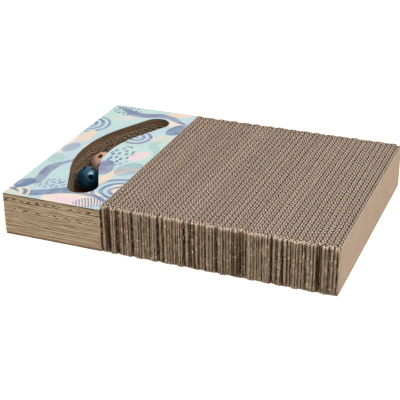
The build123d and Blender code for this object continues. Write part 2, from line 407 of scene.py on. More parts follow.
def nickelPlate(look):
    # nickel-plated pressed steel: warm grey metal, uneven in its polish
    material, tree = newMaterial("nickel plated steel")
    place = addNode(tree, "TexCoord").outputs["Object"]
    marks = addNode(tree, "TexNoise", {"Vector": place, "Scale": 1 / (look["markSize"] * mm), "Detail": 3.0})
    least, most = look["gloss"]
    polish = addNode(tree, "MapRange", {"Value": marks, "To Min": least, "To Max": most})
    colour = addNode(tree, "Mix", {"Factor": marks, "A": linear(look["deep"]), "B": linear(look["light"])},
                     data_type="RGBA")
    addSurface(tree, {"Base Color": colour, "Roughness": polish, "Metallic": 1.0})
    return material


nickel = nickelPlate(dict(deep="#b9b6ae", light="#cfcdc6", markSize=0.9, gloss=(0.15, 0.4)))
print("materials made")


# corrugated board, shared by the strips and the sheets: liners and fluting across its thickness

board = dict(outerLiner=0.27 * mm, middleLiner=0.48 * mm, fluting=0.42 * mm, coarsePitch=7.46 * mm,
             finePitch=6.34 * mm, coarseShare=0.57)


def boardEdges(low, high):
    # the six levels across a double-wall board: liner, coarse fluting, liner, fine fluting, liner
    outer, middle, share = board["outerLiner"], board["middleLiner"], board["coarseShare"]
    room = high - low - 2 * outer - middle
    return low + np.cumsum([0, outer, room * share, middle, room * (1 - share), outer])


def fluteFaces(along, low, high, pitch, phase, flattening=1.2, bias=0.0):
    # lower and upper face of the fluting between two levels: a sine wave with flattened crests, thicker
    # across where it is steep. With a bias it stays longer at the upper level.
    turns = 2 * np.pi / pitch
    angle = turns * (along + phase)
    swing = np.tanh(flattening * (np.sin(angle) + bias))
    least, most = np.tanh(flattening * (bias - 1)), np.tanh(flattening * (bias + 1))
    half = (most - least) / 2
    reach = (high - low - board["fluting"]) / 2
    slope = reach * (1 - swing ** 2) * flattening * np.cos(angle) * turns / half
    thick = board["fluting"] / 2 * np.sqrt(1 + slope ** 2)
    middle = (low + high) / 2 + reach * ((swing - least) / half - 1)
    return np.maximum(middle - thick, low), np.minimum(middle + thick, high)


# pad strips

strip = dict(
    # how finely a strip is divided
    seed=11, samplesPerFlute=10, rowStep=1.3 * mm, edgeRows=(0, 0.5 * mm, 1.6 * mm), frontRun=10 * mm,
    linerStep=1.6 * mm, linerBehind=10 * mm, linerEnd=0.8 * mm,
    # how the fluting lies: the phases are in flutes, and the step from strip to strip changes to the right
    flattening=(2.2, 1.3), bias=0.3, phaseStep=(0.12, -0.25), phaseDrift=0.09, fineLag=0.25,
    lean=0.3 * mm, bend=0.06 * mm, bendLength=40 * mm,
    # the top: strips differ in height, and the cut wavers and leaves a burr
    topStep=0.2 * mm, topWaver=0.15 * mm, waverLength=24 * mm, waverWaves=9, linerBurr=0.04 * mm,
    fluteBurr=(0.28 * mm, 0.34 * mm),
    # the ends: frayed, nicked, set back and mostly pressed shut, with slits left open, the back the least
    fray=0.25 * mm, frayRun=5 * mm, nick=1.2 * mm, nickDepths=(0.3, 1), nickShare=0.1, recess=0.4 * mm,
    linerRecess=0.6 * mm, deepRecess=(1.5 * mm, 4 * mm), deepShare=0.07, pressedShare=0.92,
    pressed=(0.7, 1), leftOpen=(0, 0.2), pressRun=6.5 * mm, slit=0.6 * mm, slitLeast=0.3,
    slitLength=40 * mm, footReach=8 * mm, footShare=0.85, backShare=0.3, backPress=0.85,
    # fluting torn out of the front of some strips, less deeply towards the right
    torn=(0, 3, 6, 11, 12, 16, 17, 18, 20, 22, 25, 26, 32, 33, 34, 38, 40, 42), tearDepth=7 * mm,
    tearRun=12 * mm, tearLength=9 * mm, tornLean=1.6 * mm, rightTear=0.4, rightPress=0.7,
    # tones of the paper, and how pale its cut ends are. The front's top rows and its tips are painted pale,
    # as painted light where they catch the light, and the torn layer's end is painted dark, as painted shade
    # in the tear
    tones=(0, 0.5), litTipTone=0.85, tipRun=4 * mm, endCut=(0.5, 1.0), tornShadeCut=0.4, speckleLeast=0.6,
    litTopRows=3, brightShare=0.07,
    # the last strip's upper corners
    cornerRound=4 * mm, cornerReach=8 * mm)


def stripRows(top):
    # heights of a strip's rows of points, closer together at the cut edges
    edge = np.array(strip["edgeRows"])
    count = int(top / strip["rowStep"])
    middle = np.linspace(edge[-1], top - edge[-1], count)[1:-1]
    return np.concatenate([edge, middle, top - edge[::-1]])


def layerEnds(layer, torn, share, rows, rng):
    # for the front and back end of a layer: how far the end stands back, how uneven the front is by
    # height, and how flat the fluting is pressed there
    uneven = np.abs(rng.normal(0, strip["fray"], len(rows)))
    nicked = rng.random(len(rows)) < strip["nickShare"]
    uneven += nicked * rng.uniform(*strip["nickDepths"], len(rows)) * strip["nick"]
    foot = smoothStep(rows / strip["footReach"])
    ragged = np.clip(0.5 + 0.5 * ripple(rows, strip["tearLength"], rng), 0, 1) * foot
    deep = rng.random() < strip["deepShare"]
    recess = np.abs(rng.normal(0, strip["recess"], 2)) * (1, strip["backShare"])
    if deep:
        recess[0] = rng.uniform(*strip["deepRecess"])
    flat = rng.random() < strip["pressedShare"] and not deep
    pressed = rng.uniform(*strip["pressed" if flat else "leftOpen"])
    if layer % 2 == 0:
        recess = np.array([recess[0] % strip["recess"] + strip["linerRecess"], 0])
    tear = strip["tearDepth"] * blended(1, strip["rightTear"], share)
    if torn and layer == 0:
        uneven += ragged * tear
    if torn and layer == 1:
        recess[0], pressed = tear, strip["rightPress"] * share
    uneven = uneven * foot - (1 - foot) * strip["footShare"] * recess[0]
    return recess, uneven, pressed


def roundedCorner(grid, fromEnd, top):
    # the upper corner at each end drops in a quarter circle, and the rows below it close up
    radius, reach = strip["cornerRound"], strip["cornerReach"]
    inside = np.clip(radius - fromEnd, 0, radius)
    drop = radius - np.sqrt(radius ** 2 - inside ** 2)
    foot = top - reach
    squeezed = foot + (grid - foot) * (1 - drop / reach)[:, None]
    return np.where(grid > foot, squeezed, grid)


def stripPiece(name, index, phase, rng):
    # a strip is five layers across its thickness, each a slab over places along the strip and heights.
    # The fluting follows a wave, and from strip to strip the fine one shifts nearly as the coarse one does.
    # The front is finely divided, because it is torn, pressed and uneven.
    low, high = corners(name)
    near, far = low[1], high[1]
    last = index == len(stripNames) - 1
    top = high[2] - rng.uniform(0, strip["topStep"])
    rows = stripRows(top)
    fewRows = rows[[0, 1, -2, -1]]
    edges = boardEdges(low[0], high[0])
    sideBend = ripple(rows, strip["bendLength"], rng) * strip["bend"]
    phases = (phase, phase * board["coarsePitch"] / board["finePitch"] + strip["fineLag"] * rng.random())
    torn = index in strip["torn"]
    shells = []
    for layer in range(5):
        isLiner, row = layer % 2 == 0, layer // 2
        inner, outer = edges[layer], edges[layer + 1]
        outside = (layer == 4 and last) or (layer == 0 and index == 0)
        recess, uneven, pressed = layerEnds(layer, torn, index / len(stripNames), rows, rng)
        start, stop = near + (0 if outside else recess[0]), far - recess[1]
        lean = rng.normal(0, strip["lean"])
        waves = np.abs([ripple(rows, strip["slitLength"], rng) for side in range(2)])
        slits = blended(strip["slitLeast"], 1, waves) * strip["slit"]
        fadeRun = strip["tearRun"] if torn and layer == 0 else strip["frayRun"]
        tone = 1.0 if outside else rng.uniform(*strip["tones"])
        pitch = board["coarsePitch"] if layer == 1 else board["finePitch"]
        run = fadeRun if isLiner else strip["frontRun"]
        step = strip["linerStep"] if isLiner else pitch / strip["samplesPerFlute"]
        behind = strip["linerBehind"] if isLiner else step
        front = np.linspace(start, start + run, int(run / step) + 2)
        rest = np.linspace(start + run, stop, int((stop - start - run) / behind) + 2)
        if isLiner:
            rest = np.insert(rest, -1, stop - strip["linerEnd"])
        speckle = rng.uniform(strip["speckleLeast"], 1, len(rows)) * blended(*strip["endCut"], pressed)
        # painted shade: the torn layer's recessed end shows the dark inside colour, as shade in the tear
        if torn and layer == 1:
            speckle *= strip["tornShadeCut"]
        bright = rng.random(len(rows)) < strip["brightShare"]
        # painted light: the top rows of the front are pale, where they catch the light
        bright[-strip["litTopRows"]:] = True
        speckle[bright] = 1
        pull = strip["tornLean"] if torn and layer > 1 else 0
        pulls = [pull * (edges[5] - level) / (edges[5] - edges[2]) for level in (inner, outer)]
        foot = smoothStep(rows / strip["footReach"])
        for along, heights in ((front, rows), (rest, fewRows)):
            isFront = heights is rows
            fade = 1 - smoothStep((along - start) / fadeRun)[:, None]
            grid = np.tile(heights, (len(along), 1))
            waver = ripple(along, strip["waverLength"], rng, strip["waverWaves"])
            grid[:, -1] -= np.abs(waver) * strip["topWaver"]
            if last:
                grid = roundedCorner(grid, np.minimum(along - near, far - along), top)
            places = np.repeat(along[:, None], len(heights), 1)
            lowFace, highFace = np.full_like(grid, inner), np.full_like(grid, outer)
            if not isLiner:
                drift = fade * lean * (2 * heights / top - 1)
                bias = strip["bias"] if layer == 1 else 0
                lowFace, highFace = fluteFaces(places + drift, inner, outer, pitch, phases[row] * pitch,
                                               strip["flattening"][row], bias)
            burr = strip["linerBurr"] if isLiner else strip["fluteBurr"][row]
            lowFace[:, [0, -1]] -= burr
            highFace[:, [0, -1]] += burr
            cut, tones = np.zeros_like(grid), np.full_like(grid, tone)
            if isFront:
                flat = (1 - smoothStep((along - start) / strip["pressRun"]))[:, None]
                flat = flat * np.maximum(pressed, 1 - foot)
                lowFace = blended(lowFace, inner + slits[0], flat) + fade * (sideBend - foot * pulls[0])
                highFace = blended(highFace, outer - slits[1], flat) + fade * (sideBend - foot * pulls[1])
                places = places + fade * uneven
                cut[0] = speckle
                tones[0, bright] = 1
                # painted light on the tips at the top of the front
                tones[along < start + strip["tipRun"], -strip["litTopRows"]:] = strip["litTipTone"]
            else:
                flat = strip["backPress"] * (1 - smoothStep((stop - along) / strip["pressRun"]))[:, None]
                lowFace = blended(lowFace, inner + slits[0].mean(), flat)
                highFace = blended(highFace, outer - slits[1].mean(), flat)
                cut[-1] = 1
            cut[:, [0, -1]] = 1
            points, faces = slab(places, grid, lowFace, highFace, "huv")
            np.clip(points, low, high, out=points)
            shells.append((points, faces, np.tile(cut.ravel(), 2), np.tile(tones.ravel(), 2), 0))
    piece = makePiece(name + "_board", shells, [padKraft])
    standIn(piece, name, "base")


stripNames = [name for name in nodeNames if name.startswith("scratch_strip")]
stripRng = np.random.default_rng(strip["seed"])
stripPhase = 0.0
for stripIndex, stripName in enumerate(stripNames):
    stripPhase += blended(*strip["phaseStep"], stripIndex / len(stripNames))
    stripPhase += stripRng.normal(0, strip["phaseDrift"])
    stripPiece(stripName, stripIndex, stripPhase, stripRng)
print("pad strips:", len(stripNames))


# panel sheets

panelLow, panelHigh = corners("printed_top_sheet")
slotShape = dict(margin=27.7 * mm, offset=1.9 * mm, width=34.6 * mm, bendRadius=142.5 * mm, bendAngle=26.7,
                 leg=43.2 * mm, flare=1.8 * mm, bendPoints=16, legPoints=6, endPoints=33)


def halfOutline(side, widen):
    # the slot's outline on the front (side -1) or the back (side 1), from the middle of the outer wall
    # along its bend and leg, round the end and along the inner wall to its middle
    half, radius, leg = (slotShape[key] for key in ("width", "bendRadius", "leg"))
    half = half / 2
    flare = slotShape["flare"] if side < 0 else 0
    angle = np.radians(slotShape["bendAngle"])
    centre = np.array([panelLow[0] + slotShape["margin"] + half + radius, slotShape["offset"]])
    turn = np.linspace(0, angle, slotShape["bendPoints"])[:, None]
    rays = np.concatenate([-np.cos(turn), side * np.sin(turn)], 1)
    legWay = np.array([np.sin(angle), side * np.cos(angle)])
    share = np.linspace(0, 1, slotShape["legPoints"])[1:, None]
    outer = centre + rays * (radius + half + widen)
    inner = centre + rays * (radius - half - widen)
    outerLeg = outer[-1] + share * (legWay * leg + rays[-1] * flare)
    innerLeg = inner[-1] + share * legWay * leg
    sweep = np.linspace(0, np.pi, slotShape["endPoints"])[1:-1, None]
    way = np.cos(sweep) * rays[-1] + np.sin(sweep) * legWay
    end = (outerLeg[-1] + innerLeg[-1]) / 2 + way * (half + widen + flare / 2)
    return np.concatenate([outer, outerLeg, end, innerLeg[::-1], inner[::-1]])


def slotEdges(axis, widen):
    # outer and inner wall of the front half, then of the back half, from the middle to where the half
    # reaches furthest along x (axis 0) or away from the middle along y (axis 1)
    edges = []
    for side in (-1, 1):
        line = halfOutline(side, widen)
        tip = np.argmax(line[:, 0] if axis == 0 else side * line[:, 1])
        edges += [line[:tip + 1], line[tip:][::-1]]
    return edges


sheet = dict(
    # how finely a sheet is divided: insets are the columns beside an edge, as shares where the run is short
    seed=29, samplesPerFlute=7, linerStep=3 * mm, insets=(0, 0.8 * mm, 2.2 * mm, 5 * mm),
    insetShares=(0, 0.08, 0.2, 0.42), endRun=10 * mm, endColumns=50, atEdge=0.99,
    # near a cut the layers wobble and step back, and the fluting is pressed shut but for thin slits
    crushRun=6 * mm, wobble=0.12 * mm, wobbleLength=80 * mm, wobbleSpread=(0.5, 1.8), wobbleWaves=5,
    ledge=0.6 * mm, ledgeStep=0.6, ledgeWave=0.35, ledgeLength=26 * mm,
    slit=0.26 * mm, slitMean=0.5, slitSwing=0.9, slitMost=0.3, slitLength=40 * mm,
    gaps={"slotted_sheet_6": 0.6 * mm, "slotted_sheet_2": 0.4 * mm}, pressed=(0.95, 1.0), leftPress=0.4,
    # sheets whose flutes run from front to back, and how far the half open rows are pressed
    lengthwise=("slotted_sheet_4", "slotted_sheet_6"), openWander=0.6, openLength=13 * mm,
    openRows={("slotted_sheet_6", 1): 0.74, ("slotted_sheet_4", 1): 0.8},
    # the slot's wall: open fluting with a burr, pressed shut at the top
    slotStep=0.5 * mm, slotOpen=0.05, slotPress={"slotted_sheet_6": 0.95, "printed_top_sheet": 0.95},
    slotLiner=0.2, slotCut={"slotted_sheet_6": 0.25, "printed_top_sheet": 0.25}, burr=0.45 * mm,
    # tones of the paper; the slot's floor liner is painted dark, as painted shade in the slot, and the given
    # share of the lowest layers' cut edges is painted dark, as a painted contact shadow at the floor
    linerTones=(0.7, 1), fluteTones=(0, 0.5), slotFloorShadeTone=0.3, paintedFootShadow=(1.0, 0.5))


def sheetSpans(crosswise, step, widen, slotted):
    # the parts of a sheet: places across the flutes, the lines where it starts and ends along them, the
    # kinds of its edges there, those of its first and last place, and how many more columns it needs.
    # Crosswise flutes run along x, so that the front and back ends are parts of their own.
    axis = 1 if crosswise else 0
    first, last = panelLow[axis], panelHigh[axis]
    begin, finish = panelLow[1 - axis], panelHigh[1 - axis]
    even = np.linspace(first, last, int((last - first) / step) + 1)
    edges = slotEdges(axis, widen)
    marks = even
    if slotted:
        marks = np.unique(np.concatenate([even, *(edge[:, axis] for edge in edges)]).round(6))
    spans = []
    if crosswise:
        run = sheet["endRun"]
        frontEnd = (("cut", "hidden"), (first, first + run))
        backEnd = (("hidden", "cut"), (last - run, last))
        for kinds, ends in (frontEnd, backEnd):
            places = np.linspace(*ends, int(run / step) + 2)
            spans.append((places, np.full_like(places, begin), np.full_like(places, finish),
                          ("cut", "hidden"), kinds, sheet["endColumns"]))
        kept = marks[(marks > first + run) & (marks < last - run)]
        marks = np.concatenate([[first + run], kept, [last - run]])
    starts, finishes = np.full_like(marks, begin), np.full_like(marks, finish)
    outerFront, innerFront, outerBack, innerBack = edges
    if not slotted:
        sides = ("hidden", "hidden") if crosswise else ("cut", "hidden")
        spans.append((marks, starts, finishes, ("cut", "hidden" if crosswise else "cut"), sides, 0))
    elif crosswise:
        outer = np.concatenate([outerFront[::-1], outerBack[1:]])
        inner = np.concatenate([innerFront[::-1], innerBack[1:]])
        toSlot = np.interp(marks, outer[:, 1], outer[:, 0])
        fromSlot = np.interp(marks, inner[:, 1], inner[:, 0])
        spans.append((marks, starts, toSlot, ("cut", "slot"), ("hidden", "hidden"), 0))
        spans.append((marks, fromSlot, finishes, ("slot", "hidden"), ("hidden", "hidden"), 0))
    else:
        lines = [np.interp(marks, edge[:, 0], edge[:, 1]) for edge in edges]
        spans.append((marks, starts, lines[0], ("cut", "slot"), ("cut", "hidden"), 0))
        spans.append((marks, lines[2], finishes, ("slot", "cut"), ("cut", "hidden"), 0))
        tongue = marks >= innerFront[0, 0] - hair
        spans.append((marks[tongue], lines[1][tongue], lines[3][tongue],
                      ("slot", "slot"), ("slot", "hidden"), 0))
    return spans


def levelLine(flat, amount, way, rng):
    # a level of the stack and its slow wobble along x, which shows at the cut edges. A way of 1 or -1
    # keeps the wobble above or below the level.
    count = sheet["wobbleWaves"]
    turns = 2 * np.pi / (sheet["wobbleLength"] * rng.uniform(*sheet["wobbleSpread"], count))
    starts = rng.uniform(0, 2 * np.pi, count)

    def wobble(x):
        wave = np.sin(x[..., None] * turns + starts).sum(-1) / count ** 0.5
        return amount * (np.abs(wave) * way if way else wave)

    return flat, wobble


def sheetLayer(spans, crosswise, floorLine, ceilingLine, flute, press, rng):
    # one layer of a sheet, liner or fluting, as slabs. Near a cut the layer is crushed: fluting spreads to
    # fill its gap, and the edge steps back by a slow ripple.
    shells = []
    inset, run = np.array(sheet["insets"]), sheet["crushRun"]
    fade = 1 - smoothStep(inset / run)
    floor, ceiling = floorLine[0], ceilingLine[0]
    steps = rng.uniform(0, sheet["ledgeStep"], 4) * sheet["ledge"]
    ledges = [rng.integers(1 << 30) for edge in range(4)]
    slitSeeds = [rng.integers(1 << 30) for edge in range(2)]
    for places, start, end, kinds, sides, more in spans:
        away = np.minimum(inset, (end - start)[:, None] * sheet["insetShares"])
        shares = np.linspace(0, 1, more + 2)[1:-1]
        inside = blended((start + away[:, -1])[:, None], (end - away[:, -1])[:, None], shares)
        along = np.concatenate([start[:, None] + away, inside, end[:, None] - away[:, ::-1]], 1)
        across = np.repeat(places[:, None], along.shape[1], 1)
        x = along if crosswise else across
        rest = np.zeros(more)
        endFades = np.concatenate([fade, rest, 0 * fade]), np.concatenate([0 * fade, rest, fade[::-1]])
        sideGaps = (places - places[0], places[-1] - places)
        sideFades = [(1 - smoothStep(gap / run))[:, None] for gap in sideGaps]
        fades = [np.broadcast_to(f, along.shape) for f in (*endFades, *sideFades)]
        edgeKinds = (*kinds, *sides)
        crushed = np.max([f * press["side" if n > 1 and k == "cut" else k]
                          for n, (f, k) in enumerate(zip(fades, edgeKinds))], 0)
        nearCut = np.max([f * (k == "cut") for f, k in zip(fades, edgeKinds)], 0)
        back = []
        for number, (edgeFade, kind) in enumerate(zip(fades, edgeKinds)):
            edgeLine = across if number < 2 else along
            wave = ripple(edgeLine, sheet["ledgeLength"], np.random.default_rng(ledges[number]))
            depth = steps[number] + sheet["ledgeWave"] * sheet["ledge"] * np.abs(wave)
            back.append(edgeFade * (kind == "cut") * depth)
        lowFace = floor + floorLine[1](x) * nearCut
        highFace = ceiling + ceilingLine[1](x) * nearCut
        if flute:
            room = highFace - lowFace
            waves = [ripple(x, sheet["slitLength"], np.random.default_rng(seed)) for seed in slitSeeds]
            slits = [np.clip((sheet["slitMean"] + sheet["slitSwing"] * wave) * sheet["slit"],
                             0, room * sheet["slitMost"]) for wave in waves]
            wander = ripple(x, sheet["openLength"], np.random.default_rng(ledges[0]))
            wander = wander * 4 * crushed * (1 - crushed)  # none where the flutes are whole or shut
            crushed = np.clip(crushed + sheet["openWander"] * nearCut * wander, 0, 1)
            wholeLow, wholeHigh = fluteFaces(across, floor, ceiling, *flute)
            atSlot = [(f > sheet["atEdge"]) * (k == "slot") for f, k in zip(fades, edgeKinds)]
            burr = sheet["burr"] * np.max(atSlot, 0)
            wholeLow, wholeHigh = wholeLow - burr, wholeHigh + burr
            pressedLow = blended(wholeLow, lowFace + slits[0], crushed)
            pressedHigh = blended(wholeHigh, highFace - slits[1], crushed)
            lowFace, highFace = np.maximum(pressedLow, lowFace), np.minimum(pressedHigh, highFace)
        along = along + back[0] - back[1]
        across = across + back[2] - back[3]
        points, faces = slab(across, along, lowFace, highFace, "vuh" if crosswise else "uvh")
        paler = dict(cut=1, slot=press["slotCut"], hidden=0)
        cut = np.max([(f > sheet["atEdge"]) * paler[k] for f, k in zip(fades, edgeKinds)], 0)
        shells.append((points, faces, np.tile(cut.ravel(), 2)))
    return shells


def sheetPiece(name, rng):
    # a flat sheet is five layers between six wobbling levels. The wobble of the lowest and the highest level
    # stays inside the sheet, and the slot is a little wider in some layers than in others.
    low, high = corners(name)
    slotted = name.startswith("slotted")
    crosswise = name not in sheet["lengthwise"]
    levels = boardEdges(low[2], high[2])
    ways = (1, 0, 0, 0, 0, -1)
    amounts = [sheet["gaps"].get(name, sheet["wobble"])] + [sheet["wobble"]] * 5
    lines = [levelLine(level, amount, way, rng) for level, amount, way in zip(levels, amounts, ways)]
    shift = rng.uniform(0, sheet["slotStep"])
    shells = []
    for layer in range(5):
        isLiner = layer % 2 == 0
        pitch = board["coarsePitch"] if layer == 1 else board["finePitch"]
        flute = None if isLiner else (pitch, rng.uniform(0, pitch))
        step = sheet["linerStep"] if isLiner else pitch / sheet["samplesPerFlute"]
        flat = sheet["openRows"].get((name, layer), rng.uniform(*sheet["pressed"]))
        press = dict(cut=sheet["leftPress"] if crosswise else flat, side=1, hidden=0,
                     slot=sheet["slotPress"].get(name, sheet["slotOpen"]),
                     slotCut=sheet["slotLiner"] if isLiner else sheet["slotCut"].get(name, 1.0))
        tone = rng.uniform(*sheet["linerTones" if isLiner else "fluteTones"])
        # painted shade: the slot's floor liner is given a dark tone, as shade at the bottom of the slot
        if name == "floor_sheet_2" and layer == 4:
            tone = sheet["slotFloorShadeTone"]
        widen = (shift + rng.uniform(0, sheet["slotStep"])) / 2
        spans = sheetSpans(crosswise, step, widen, slotted)
        cutSlabs = sheetLayer(spans, crosswise, lines[layer], lines[layer + 1], flute, press, rng)
        for points, faces, cut in cutSlabs:
            np.clip(points, low, high, out=points)
            # painted contact shadow: the lowest layers lose their pale cut edge over the given share
            if name == sheetNames[0] and layer < len(sheet["paintedFootShadow"]):
                cut[:int(len(cut) * sheet["paintedFootShadow"][layer])] = 0
            shells.append((points, faces, cut, tone, 0))
    piece = makePiece(name + "_board", shells, [panelKraft])
    standIn(piece, name, "base")


sheetRng = np.random.default_rng(sheet["seed"])
sheetNames = [name for name in nodeNames if name.startswith(("floor_sheet", "slotted_sheet"))]
for sheetName in sheetNames:
    sheetPiece(sheetName, sheetRng)
print("panel sheets:", len(sheetNames))


# printed top sheet: one fine flute between a thin liner and a thick one, which has the print on its face

topSheet = dict(seed=41, liner=0.35 * mm, face=1.3 * mm, pitch=3.2 * mm, press=0.9, samplesPerFlute=6,
                wobble=0.12 * mm, tones=(0.4, 0.9))


def topSheetPiece(name):
    # three layers with the slot cut through. Only the printed face has no wobble.
    rng = np.random.default_rng(topSheet["seed"])
    low, high = corners(name)
    levels = (low[2], low[2] + topSheet["liner"], high[2] - topSheet["face"], high[2])
    lines = [levelLine(level, topSheet["wobble"] * amount, way, rng)
             for level, amount, way in zip(levels, (1, 1, 1, 0), (1, 0, 0, 0))]
    press = dict(cut=topSheet["press"], side=1, hidden=0, slot=sheet["slotPress"][name],
                 slotCut=sheet["slotCut"][name])
    shells = []
    for layer in range(3):
        isFlute, isPrinted = layer == 1, layer == 2
        flute = (topSheet["pitch"], 0.0) if isFlute else None
        step = topSheet["pitch"] / topSheet["samplesPerFlute"] if isFlute else sheet["linerStep"]
        spans = sheetSpans(False, step, 0.0, True)
        cutSlabs = sheetLayer(spans, False, lines[layer], lines[layer + 1], flute, press, rng)
        for points, faces, cut in cutSlabs:
            np.clip(points, low, high, out=points)
            if isPrinted:
                cut = np.repeat([1.0, 0.0], len(points) // 2)
            shells.append((points, faces, cut, rng.uniform(*topSheet["tones"]), int(isPrinted)))
    piece = makePiece(name + "_board", shells, [panelKraft, printMaterial])
    standIn(piece, name, "base")


topSheetPiece("printed_top_sheet")
print("printed sheet")


# balls

ball = dict(radius=15 * mm, wall=1.6 * mm, hole=3.5 * mm, ringTilt=54.0, rim=0.4 * mm, seam=0.1 * mm,
            lipHeight=1.2 * mm, lipShare=0.5, clearance=0.1 * mm, arcPoints=14, innerRows=5, rimRows=5,
            outerRows=9, secondTurn=45.0, sharpAngle=40.0)
# how each ball lies: where its first hole looks, in degrees, and the turn of the other holes about it
ballLies = dict(blue=dict(elevation=61.4, azimuth=13.3, ringTurn=-83.1, plastic=bluePlastic),
                rose=dict(elevation=64.7, azimuth=-97.5, ringTurn=26.1, plastic=rosePlastic))


def turned(axis, degrees):
    return np.array(Matrix.Rotation(np.radians(degrees), 3, axis))


def arcBetween(a, b, count):
    # points on the great circle from a up to b, without b
    share = np.arange(count)[:, None] / count
    angle = np.arccos(np.clip(a @ b, -1, 1))
    return (np.sin((1 - share) * angle) * a + np.sin(share * angle) * b) / np.sin(angle)


def onSphere(tilt, azimuth):
    return np.stack([np.sin(tilt) * np.cos(azimuth), np.sin(tilt) * np.sin(azimuth),
                     np.cos(tilt) * np.ones_like(azimuth)], -1)


def holeCells(latitude):
    # a half sphere parted into five cells, one round each hole, each given as its closed outline.
    # Cells meet halfway between holes, and the outer four stop at the given latitude.
    count = ball["arcPoints"]
    ringTilt = np.radians(ball["ringTilt"])
    corner = np.arctan((1 - np.cos(ringTilt)) / (np.sin(ringTilt) * np.cos(np.pi / 4)))
    foot = np.pi / 2 - latitude
    share = np.arange(count) / count
    quarter = np.pi / 2
    upper = [onSphere(corner, np.array(quarter * (k - 0.5))) for k in range(5)]
    pole = np.concatenate([arcBetween(upper[k], upper[k + 1], count) for k in range(4)])
    cells = [(np.array([0.0, 0.0, 1.0]), pole)]
    for k in range(4):
        left, right = quarter * (k - 0.5), quarter * (k + 0.5)
        down = onSphere(corner + (foot - corner) * share, np.full(count, left))
        across = onSphere(np.full(count, foot), left + (right - left) * share)
        up = onSphere(foot + (corner - foot) * share, np.full(count, right))
        back = arcBetween(upper[k + 1], upper[k], count)
        cells.append((onSphere(ringTilt, np.array(quarter * k)), np.concatenate([down, across, up, back])))
    return cells


def awayFrom(centre, edge):
    # angle from a hole's centre to each point of its cell's outline, and the way there
    away = np.arccos(np.clip(edge @ centre, -1, 1))
    way = edge - (edge @ centre)[:, None] * centre
    return away, way / np.linalg.norm(way, axis=1, keepdims=True)


def halfShell(lipped):
    # each cell is a closed band: along the inner sphere to the hole, up the hole's wall, over a rounded
    # rim and out along the outer sphere. A ring with the seam's step then joins inner and outer sphere.
    outerR = ball["radius"]
    innerR = outerR - ball["wall"]
    hole, rim, seam = ball["hole"], ball["rim"], ball["seam"]
    innerLat = np.arcsin((seam if lipped else ball["lipHeight"] + ball["clearance"]) / innerR)
    outerLat = np.arcsin(seam / outerR)
    centreUp = np.sqrt((outerR - rim) ** 2 - (hole + rim) ** 2)
    tangent = np.arctan2(hole + rim, centreUp)
    holeInner = np.arcsin(hole / innerR)
    points, faces = [], []
    first = 0
    for (centre, outerEdge), (_, innerEdge) in zip(holeCells(outerLat), holeCells(innerLat)):
        awayIn, wayIn = awayFrom(centre, innerEdge)
        awayOut, wayOut = awayFrom(centre, outerEdge)
        rows = []
        for share in np.linspace(1, 0, ball["innerRows"]):
            angle = blended(holeInner, awayIn, share)[:, None]
            way = blended(wayOut, wayIn, share)
            way = way / np.linalg.norm(way, axis=1, keepdims=True)
            rows.append(innerR * (np.cos(angle) * centre + np.sin(angle) * way))
        for angle in np.linspace(np.pi, np.arctan2(centreUp, hole + rim), ball["rimRows"]):
            across = hole + rim + rim * np.cos(angle)
            rows.append(across * wayOut + (centreUp + rim * np.sin(angle)) * centre)
        for share in np.linspace(0, 1, ball["outerRows"])[1:]:
            angle = blended(tangent, awayOut, share)[:, None]
            rows.append(outerR * (np.cos(angle) * centre + np.sin(angle) * wayOut))
        grid = np.stack(rows)
        grid = np.concatenate([grid, grid[:, :1]], 1)
        points.append(grid.reshape(-1, 3))
        faces.append(gridFaces(grid.shape[0], grid.shape[1], first)[:, ::-1])
        first += len(points[-1])
    lipR = innerR + ball["wall"] * ball["lipShare"]
    outerRim = (outerR * np.cos(outerLat), seam)
    innerRim = (innerR * np.cos(innerLat), innerR * np.sin(innerLat))
    if lipped:
        lipFoot = -ball["lipHeight"]
        step = [(lipR, 0), (lipR, lipFoot), (innerR, lipFoot)]
    else:
        gapR = lipR + ball["clearance"]
        step = [(gapR, 0), (gapR, innerRim[1])]
    profile = np.array([outerRim, (outerR - seam, 0), *step, innerRim])
    count = 4 * ball["arcPoints"]
    circle = -np.pi / 4 + np.linspace(0, 2 * np.pi, count + 1)
    ring = np.stack([profile[:, :1] * np.cos(circle), profile[:, :1] * np.sin(circle),
                     np.repeat(profile[:, 1:], count + 1, 1)], -1)
    points.append(ring.reshape(-1, 3))
    faces.append(gridFaces(len(profile), count + 1, first)[:, ::-1])
    return np.concatenate(points), np.concatenate(faces)


def closeSeams(mesh):
    # cells and ring meet point on point, so that merging those points closes the shell
    work = bmesh.new()
    work.from_mesh(mesh)
    bmesh.ops.remove_doubles(work, verts=work.verts, dist=4 * hair)
    work.to_mesh(mesh)
    work.free()


def ballPieces(colour, lies):
    # two half shells about the middle of the roll joint, the second turned over, and the bell inside
    centre = next(j["pos_m"] for j in frame["joints"] if j["name"] == colour + "_ball_roll")
    rolled = turned("Z", lies["azimuth"]) @ turned("Y", 90 - lies["elevation"])
    rolled = rolled @ turned("Z", lies["ringTurn"])
    halfTurns = {"half_1": np.eye(3), "half_2": turned("Z", ball["secondTurn"]) @ turned("X", 180)}
    for label, halfTurn in halfTurns.items():
        points, faces = halfShell(lipped=label == "half_1")
        points = points @ (rolled @ halfTurn).T + np.array(centre)
        node = f"{colour}_ball_{label}"
        piece = makePiece(node + "_shell", [(points, faces, 0.0, 1.0, 0)], [lies["plastic"]])
        closeSeams(piece.data)
        piece.data.shade_smooth()
        piece.data.set_sharp_from_angle(angle=np.radians(ball["sharpAngle"]))
        standIn(piece, node, colour + "_ball")
    for place in frame["nodes"][colour + "_ball_bell"].material_slots:
        place.material = nickel


for ballColour, ballLie in ballLies.items():
    ballPieces(ballColour, ballLie)
print("balls:", len(ballLies))


# floor, light and camera

